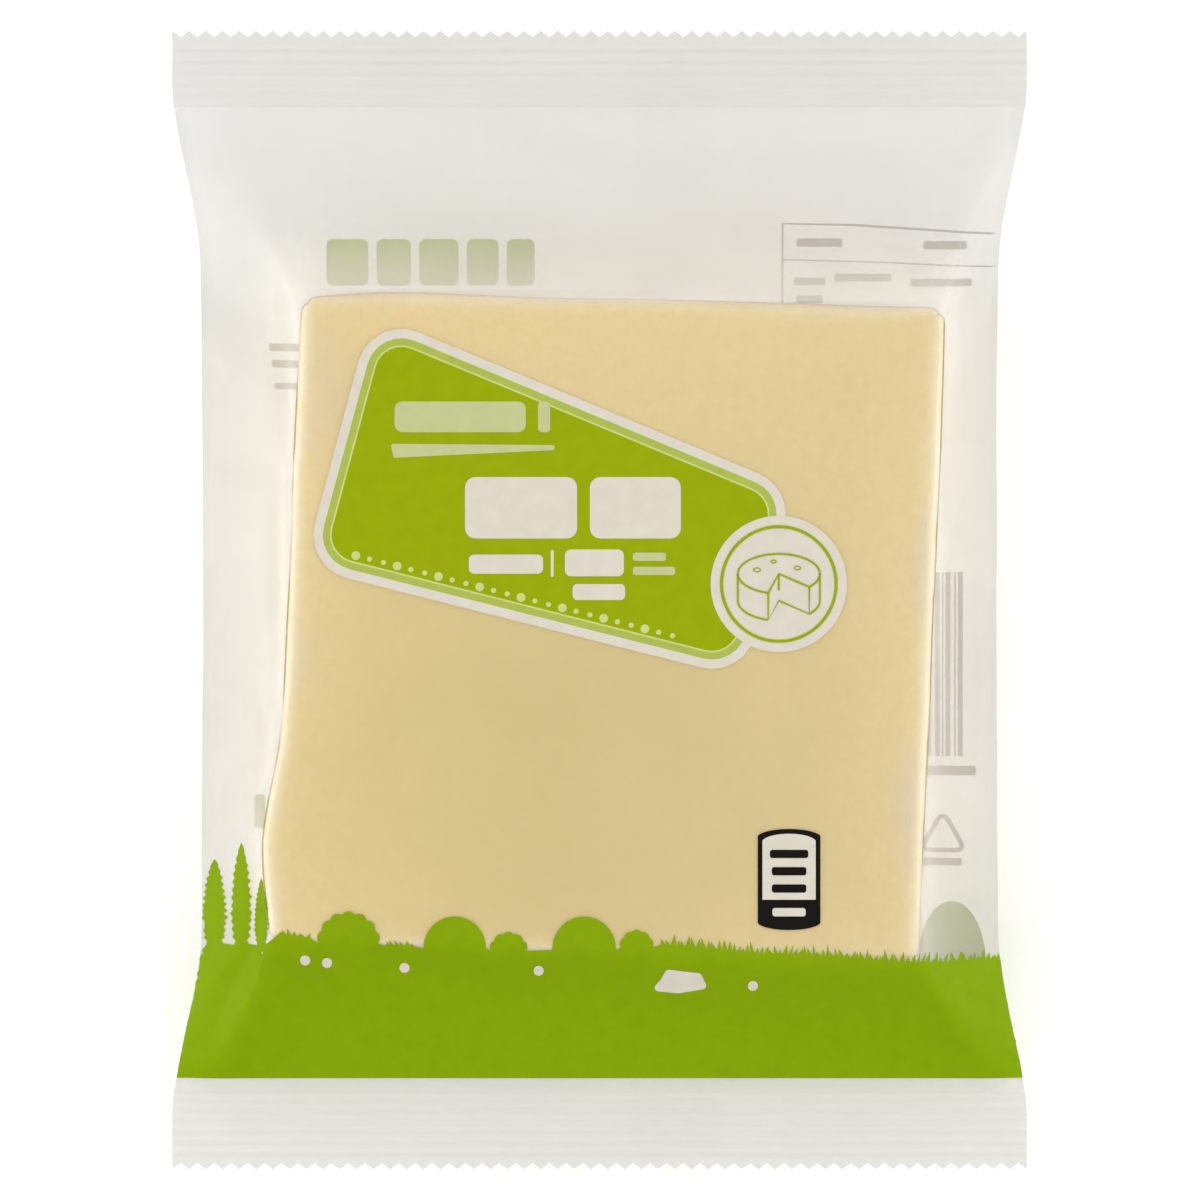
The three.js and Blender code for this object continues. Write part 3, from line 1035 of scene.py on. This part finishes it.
def headline_bars():
    """Bars where a real label has its words."""
    return [
        bar(-21.0, 9.6, 17.5, 9.6, 1.6),
        bar(-1.5, 9.6, 14.2, 9.6, 1.6),
        bar(-20.4, 4.1, 11.6, 3.0, 0.8),
        bar(-7.6, 3.6, 0.45, 4.2, 0.2),
        bar(-5.4, 3.7, 9.2, 4.2, 0.9),
        bar(-4.2, 0.0, 8.2, 2.5, 0.7),
    ]


def small_bars():
    """Paler bars and a tapering underline."""
    underline = rounded([(-32.2, 22.2), (-7.0, 23.4), (-7.0, 24.2), (-32.6, 24.4)], 0.35, 3)
    return [
        bar(-32.0, 26.2, 20.5, 4.8, 1.2),
        bar(-9.6, 26.2, 1.9, 4.8, 0.6),
        [underline],
        bar(5.2, 6.1, 5.2, 1.3, 0.4),
        bar(5.2, 3.9, 6.6, 1.3, 0.4),
    ]


def wheel_lines():
    """A wheel of cheese with a wedge cut out, drawn in thin lines about its centre."""
    top, rim = 1.6, -2.6
    radii = (6.4, 3.1)
    open_from, open_to = 255.0, 318.0
    cut_a = ellipse((0, top), radii, open_from, open_from, 1)[0]
    cut_b = ellipse((0, top), radii, open_to, open_to, 1)[0]
    down = Vector((0, rim - top))
    centre = Vector((0, top))
    lines = [
        ellipse((0, top), radii, open_to, open_from + 360, 40),
        [cut_a, centre, cut_b],
        [centre, centre + down * 0.62],
        [cut_a, cut_a + down, centre + down, cut_b + down, cut_b],
        ellipse((0, rim), radii, open_to, 360, 10),
        ellipse((0, rim), radii, 180, open_from, 14),
        [(-radii[0], top), (-radii[0], rim)],
        [(radii[0], top), (radii[0], rim)],
    ]
    shapes = [stroke(line, 0.34) for line in lines]
    for place, radius in (((-3.4, 2.2), 0.55), ((-0.8, 3.5), 0.4), ((2.9, 2.5), 0.5)):
        shapes.append(stroke(ellipse(place, (radius, radius * 0.55), steps=16), 0.2, True))
    return [turned(shape, 0.0, WHEEL_CENTRE) for shape in shapes]


def label_dots():
    """A row of dots that runs along the label's lower edge."""
    dots = []
    for number in range(24):
        x = lerp(-29.0, 22.0, number / 23)
        y = lerp(-15.6, -14.9, number / 23)
        size = 0.42 if number % 3 else 0.7
        dots.append(turned([ellipse((x, y), (size, size), steps=14)], LABEL_TURN, LABEL_CENTRE))
    return dots


class PACK_OT_front_label(bpy.types.Operator):
    """Print the turned green label, its bars and its small drawing on the front"""

    bl_idname = "cheese_pack.front_label"
    bl_label = "Front Label"

    def execute(self, context):
        colours = context.scene.pack_colours
        green = ink_material("label green ink", colours.label_green)
        white = ink_material("white ink", colours.white)
        rim = ink_material("rim green ink", colours.rim_green)
        line = ink_material("line green ink", colours.line_green)
        wheel = ellipse(WHEEL_CENTRE, (WHEEL_RADIUS, WHEEL_RADIUS), steps=64)

        edge = [label_ring(OUTLINE_WIDTH), label_ring(0.0)]
        print_on("label_outline", [edge], white, "pale_ink", 1)
        edge = [label_ring(0.0), label_ring(-RIM_WIDTH)]
        print_on("label_rim", [edge], rim, "green_ink", 1)
        edge = [label_ring(-RIM_WIDTH), label_ring(-RIM_WIDTH - FINE_LINE)]
        print_on("label_line", [edge], line, "green_ink", 1)
        field = label_ring(-RIM_WIDTH - FINE_LINE)
        print_on("label_field", [[field]], green, "green_ink", 1)
        print_on("label_dots", label_dots(), line, "green_ink", 1, 1)
        print_on("label_bars", headline_bars(), white, "pale_ink", 1, 1)
        pale = ink_material("bar green ink", colours.bar_green)
        print_on("label_small_bars", small_bars(), pale, "green_ink", 1, 1)

        print_on("medallion_edge", [[grown(wheel, OUTLINE_WIDTH)]], white, "pale_ink", 1, 1)
        ring = [wheel, grown(wheel, -0.5)]
        print_on("medallion_ring", [ring], green, "green_ink", 1, 2)
        print_on("medallion_drawing", wheel_lines(), green, "green_ink", 1, 2)
        return {"FINISHED"}


# ---- The green ground ----

GROUND_BOTTOM = -75.0
GRASS_PITCH = 0.75  # from one blade to the next
POPLAR_FOOT = -54.0
# The centre, half width and height of each, and its seed or its number of bumps.
POPLARS = ((-60.3, 2.1, 13.4, 1), (-56.0, 1.7, 16.0, 2), (-52.8, 1.2, 10.4, 3))
MOUNDS = ((-22.6, 4.9, 5.0, 0), (-14.2, 2.8, 2.7, 5), (-2.4, 5.0, 5.2, 0), (5.8, 2.5, 2.5, 5))


def fold_line(right):
    """The film's side fold, from below upwards, in millimetres seen from the front."""
    mesh = bpy.data.objects["film"].data
    flat = mesh.attributes["flat"].data
    edge = 1.0 if right else -1.0
    line = [
        vertex.co.xy / MM
        for vertex, item in zip(mesh.vertices, flat)
        if abs(item.vector[0] - edge) < 1e-4
    ]
    return sorted(line, key=lambda point: point.y)


def ground_ring(skyline):
    """A closed ring from fold to fold, straight below, with a skyline above."""
    right, left = fold_line(True), fold_line(False)
    ends = []
    for line, top in ((right, skyline[-1][1]), (left, skyline[0][1])):
        ends.append([point for point in line if GROUND_BOTTOM < point.y < top])
    bottoms = []
    for line in (left, right):
        nearest = min(line, key=lambda point: abs(point.y - GROUND_BOTTOM))
        bottoms.append(Vector((nearest.x, GROUND_BOTTOM)))
    low, high = ends[1][-1].x + 0.3, ends[0][-1].x - 0.3
    inner = [Vector(point) for point in skyline if low < point[0] < high]
    return [*bottoms, *ends[0], *reversed(inner), *reversed(ends[1])]


def grass(start, end, base, seed, tall=1.8):
    """Blades of grass side by side, as points of a skyline."""
    chance = random.Random(seed)
    points = []
    x = start
    while x < end - GRASS_PITCH:
        height = tall * chance.uniform(0.35, 1.0)
        lean = chance.uniform(-0.5, 0.5)
        points.append((x, base(x)))
        points.append((x + GRASS_PITCH * 0.5 + lean, base(x) + height))
        x += GRASS_PITCH * chance.uniform(0.8, 1.3)
    points.append((min(x, end), base(x)))
    return points


def hills(x):
    """Height of the fields' edge."""
    return -54.5 - 0.033 * x + 0.6 * math.sin(x / 11.0 + 0.6) + 0.25 * math.sin(x / 4.7)


def mound(centre, half, height, base, bumps=0):
    """A round top on the skyline, such as a haystack's, or a bush's with its bumps."""
    points = []
    steps = 8 * max(bumps, 4)
    for number in range(steps + 1):
        share = number / steps
        angle = math.pi * (1 - share)
        swell = 1 + 0.09 * abs(math.sin(math.pi * bumps * share))
        away = Vector((half * math.cos(angle), height * math.sin(angle))) * swell
        points.append((centre + away.x, base + away.y))
    return points


def poplar(centre, half, height, base, seed):
    """A slender tree's pointed and ragged outline, from its left foot to its right."""
    chance = random.Random(seed)
    left, right = [], []
    for number in range(26):
        share = number / 26
        reach = half * math.sin(math.pi * (0.1 + 0.9 * share) ** 0.75) ** 0.7
        leaf = 0.82 if number % 2 else 1.08
        y = base + height * share
        left.append((centre - reach * leaf * chance.uniform(0.86, 1.0), y))
        right.append((centre + reach * leaf * chance.uniform(0.86, 1.0), y + 0.2))
    return left + [(centre, base + height)] + right[::-1]


def front_skyline():
    """Poplars at the left, bushes and haystacks, and grass at the right."""
    points = [(-70.0, POPLAR_FOOT)]
    for centre, half, height, seed in POPLARS:
        points += poplar(centre, half, height, POPLAR_FOOT, seed)
    points += grass(-50.2, -44.6, hills, 8, 1.0)
    points += mound(-39.2, 4.6, 4.6, -53.6, 7)
    points += grass(-33.4, -28.6, hills, 9, 1.0)
    for centre, half, height, bumps in MOUNDS:
        points += mound(centre, half, height, hills(centre) - 0.3, bumps)
    points += grass(9.6, 70.0, lambda x: hills(x) + 0.2, 4)
    points.append((70.0, -56.0))
    return points


class PACK_OT_ground_print(bpy.types.Operator):
    """Print the green ground with its skyline round the lower end, front and back"""

    bl_idname = "cheese_pack.ground_print"
    bl_label = "Ground Print"

    def execute(self, context):
        colours = context.scene.pack_colours
        green = ink_material("ground green ink", colours.ground_green)
        white = bpy.data.materials["white ink"]
        ring = ground_ring(front_skyline())
        print_on("ground_front", [[ring]], green, "green_ink", 1, 0, 0.65 * MM)
        back = ground_ring(back_skyline())
        back_green = ink_material("back green ink", colours.back_green)
        print_on("ground_back", [[back]], back_green, "green_ink", -1)
        print_on("ground_patches", ground_patches(), white, "pale_ink", 1, 1)
        return {"FINISHED"}


def back_skyline():
    points = [(-70.0, -55.0)]
    points += [(x, hills(-x)) for x in range(-62, 48, 3)]
    points += mound(55.5, 5.2, 9.6, -57.0)
    points += [(62.0, -57.0), (70.0, -57.0)]
    return points


def ground_patches():
    """Pale flowers and a winding path."""
    path = [(10.5, -57.6), (15.8, -58.2), (17.0, -60.6), (12.4, -61.4), (8.0, -61.0), (9.6, -59.2)]
    shapes = [[rounded(path, 0.6, 4)]]
    for x, y in ((-46.0, -56.2), (-42.6, -56.6), (-30.5, -57.4), (-9.5, -57.8), (24.0, -60.2)):
        shapes.append([ellipse((x, y), (0.8, 0.8), steps=16)])
    return shapes


# ---- The badge and the print on the back ----


def badge_ring(inset):
    """A tall badge whose top and bottom are arched."""
    left, right = 24.6 + inset, 34.6 - inset
    low, high = -50.2 + inset, -37.1 - inset
    middle = (left + right) / 2
    half = (right - left) / 2
    arch = 1.35
    upper = ellipse((middle, high), (half, arch), 12, 168, 14)
    lower = ellipse((middle, low), (half, arch), 192, 348, 14)
    return lower + upper


def badge_parts():
    outer, inner = badge_ring(0.0), badge_ring(0.75)
    foot_top = -46.8
    field = [point for point in inner if point.y > foot_top]
    left = min(point.x for point in inner)
    right = max(point.x for point in inner)
    field = [Vector((left, foot_top)), Vector((right, foot_top)), *field]
    return outer, field


def badge_bars():
    rows = ((26.6, -40.3, 6.0, 1.3), (26.9, -43.0, 5.4, 1.3), (26.9, -45.7, 5.4, 1.3))
    return [bar(*row, 0.4) for row in rows]


class PACK_OT_badge(bpy.types.Operator):
    """Print the small black and white badge on the front"""

    bl_idname = "cheese_pack.badge"
    bl_label = "Badge"

    def execute(self, context):
        colours = context.scene.pack_colours
        black = ink_material("black ink", colours.black)
        white = bpy.data.materials["white ink"]
        outer, field = badge_parts()
        print_on("badge_body", [[outer]], black, "black_ink", 1)
        foot_bar = bar(27.0, -49.4, 5.2, 1.3, 0.4)
        print_on("badge_field", [[field], foot_bar], white, "pale_ink", 1, 1)
        print_on("badge_bars", badge_bars(), black, "black_ink", 1, 2)
        return {"FINISHED"}


def back_words():
    """Thick bars where a real pack has a name on its back."""
    widths = (6.6, 5.4, 6.2, 5.0, 4.4)
    shapes = []
    x = -43.0
    for width in widths:
        shapes.append(bar(x, 49.6, width, 7.2, 1.0))
        x += width + 1.3
    return shapes


def back_lines():
    """A table with rows of bars, a few short bars, and stripes."""
    shapes = [
        stroke([(28.8, 44.0), (28.8, 59.2), (40.0, 59.0), (62.0, 57.6)], 0.35),
        stroke([(28.8, 53.6), (44.0, 53.2), (62.0, 52.4)], 0.22),
    ]
    for row in (
        (31.0, 55.6, 7.2, 1.3),
        (51.0, 55.2, 6.8, 1.3),
        (30.6, 49.6, 5.0, 1.2),
        (37.0, 50.2, 9.0, 1.2),
        (49.0, 49.4, 9.6, 1.2),
        (31.0, 46.8, 4.2, 1.2),
        (-52.0, 39.2, 4.6, 1.2),
        (-51.6, 36.6, 4.2, 1.2),
        (-51.2, 33.2, 3.8, 1.0),
        (51.6, -27.6, 7.6, 1.5),
        (51.0, -41.8, 6.0, 1.2),
    ):
        shapes.append(bar(*row, 0.35))
    chance = random.Random(11)
    x = 51.6
    while x < 56.6:
        width = chance.choice((0.25, 0.25, 0.5, 0.75))
        shapes.append(bar(x, -24.6, width, 29.0, 0.05))
        x += width + chance.choice((0.3, 0.3, 0.6))
    triangle = rounded([(50.6, -39.4), (57.6, -39.4), (54.1, -33.2)], 0.8, 4)
    shapes.append(stroke(triangle, 0.7, True))
    return shapes


class PACK_OT_back_print(bpy.types.Operator):
    """Print the bars, the table and the stripes on the back, which show through the film"""

    bl_idname = "cheese_pack.back_print"
    bl_label = "Back Print"

    def execute(self, context):
        colours = context.scene.pack_colours
        green = bpy.data.materials["back green ink"]
        grey = ink_material("back print ink", colours.grey)
        words = back_words() + [bar(-54.4, -36.0, 1.6, 5.4, 0.6)]
        print_on("back_bars", words, green, "green_ink", -1, 0, 1.5 * MM)
        print_on("back_table", back_lines(), grey, "black_ink", -1, 0, 1.5 * MM)
        return {"FINISHED"}


# ---- The stage ----

VIEW_WIDTH = 188.4 * MM  # what the picture shows across, at the height of the folds
VIEW_CENTRE_X = 0.08 * MM
LENS = 400.0
WORLD_LIGHT = 0.748
OVERHEAD_POWER = 1.2
SIDE_POWER = {-1: 1.5, 1: 1.25}  # of the lamps at the left and the right
SENSOR = 36.0
FLOOR_COLOUR = (0.97, 0.97, 0.97, 1.0)
WHITE_LIGHT = (1.0, 1.0, 1.0, 1.0)


def add_light(name, place, size, power, target=(0, 0, 0)):
    lamp = bpy.data.lights.new(name, "AREA")
    lamp.shape = "RECTANGLE"
    lamp.size, lamp.size_y = size
    lamp.energy = power
    lamp_object = bpy.data.objects.new(name, lamp)
    bpy.context.scene.collection.objects.link(lamp_object)
    lamp_object.location = place
    toward = Vector(target) - Vector(place)
    lamp_object.rotation_euler = toward.to_track_quat("-Z", "Y").to_euler()


class PACK_OT_stage(bpy.types.Operator):
    """Set up the pale floor, the soft lights and the camera looking straight down"""

    bl_idname = "cheese_pack.stage"
    bl_label = "Stage"

    def execute(self, context):
        scene = context.scene
        bm = bmesh.new()
        bmesh.ops.create_grid(bm, x_segments=1, y_segments=1, size=3.0)
        floor = new_object("floor", bm, smooth=False)
        nodes = Nodes("pale floor")
        nodes.set(Base_Color=FLOOR_COLOUR, Roughness=0.9, Specular_IOR_Level=0.1)
        floor.data.materials.append(nodes.material)

        world = bpy.data.worlds.new("soft room")
        world.use_nodes = True
        background = world.node_tree.nodes["Background"]
        background.inputs["Color"].default_value = WHITE_LIGHT
        background.inputs["Strength"].default_value = WORLD_LIGHT
        scene.world = world
        for side in (-1, 1):
            add_light(f"overhead {side}", (0.0, 0.3 * side, 0.85), (0.5, 0.3), OVERHEAD_POWER)
            add_light(f"side {side}", (0.6 * side, 0.0, 0.16), (0.2, 0.5), SIDE_POWER[side])

        camera = bpy.data.cameras.new("camera")
        camera.lens = LENS
        camera.sensor_width = SENSOR
        camera.clip_end = 20.0
        distance = VIEW_WIDTH * LENS / SENSOR
        camera_object = bpy.data.objects.new("camera", camera)
        camera_object.location = (VIEW_CENTRE_X, 0.0, FOLD_HEIGHT + distance)
        scene.collection.objects.link(camera_object)
        scene.camera = camera_object
        scene.view_settings.view_transform = "Standard"
        scene.cycles.use_denoising = True
        scene.cycles.transparent_max_bounces = 32
        scene.cycles.max_bounces = 6
        scene.cycles.use_light_tree = False
        scene.cycles.caustics_reflective = False
        scene.cycles.caustics_refractive = False
        return {"FINISHED"}


# ---- The add-on ----


class PACK_PT_panel(bpy.types.Panel):
    """Builds the pack, piece by piece"""

    bl_idname = "PACK_PT_panel"
    bl_label = "Cheese Pack"
    bl_space_type = "VIEW_3D"
    bl_region_type = "UI"
    bl_category = "Cheese Pack"

    def draw(self, context):
        for settings in (context.scene.pack_sizes, context.scene.pack_colours):
            box = self.layout.box()
            for name in settings.__annotations__:
                box.prop(settings, name)
        for operator in OPERATORS:
            self.layout.operator(operator.bl_idname)


OPERATORS = (
    PACK_OT_cheese_block,
    PACK_OT_film_tube,
    PACK_OT_end_seals,
    PACK_OT_back_seam,
    PACK_OT_front_label,
    PACK_OT_ground_print,
    PACK_OT_badge,
    PACK_OT_back_print,
    PACK_OT_stage,
)
CLASSES = (PackSizes, PackColours, *OPERATORS, PACK_PT_panel)


def register():
    for item in CLASSES:
        bpy.utils.register_class(item)
    bpy.types.Scene.pack_sizes = PointerProperty(type=PackSizes)
    bpy.types.Scene.pack_colours = PointerProperty(type=PackColours)


def unregister():
    del bpy.types.Scene.pack_sizes
    del bpy.types.Scene.pack_colours
    for item in reversed(CLASSES):
        bpy.utils.unregister_class(item)


def main():
    register()
    bpy.ops.cheese_pack.stage()
    bpy.ops.cheese_pack.cheese_block()
    bpy.ops.cheese_pack.film_tube()
    bpy.ops.cheese_pack.end_seals()
    bpy.ops.cheese_pack.back_seam()
    bpy.ops.cheese_pack.front_label()
    bpy.ops.cheese_pack.ground_print()
    bpy.ops.cheese_pack.badge()
    bpy.ops.cheese_pack.back_print()


if __name__ == "__main__":
    main()
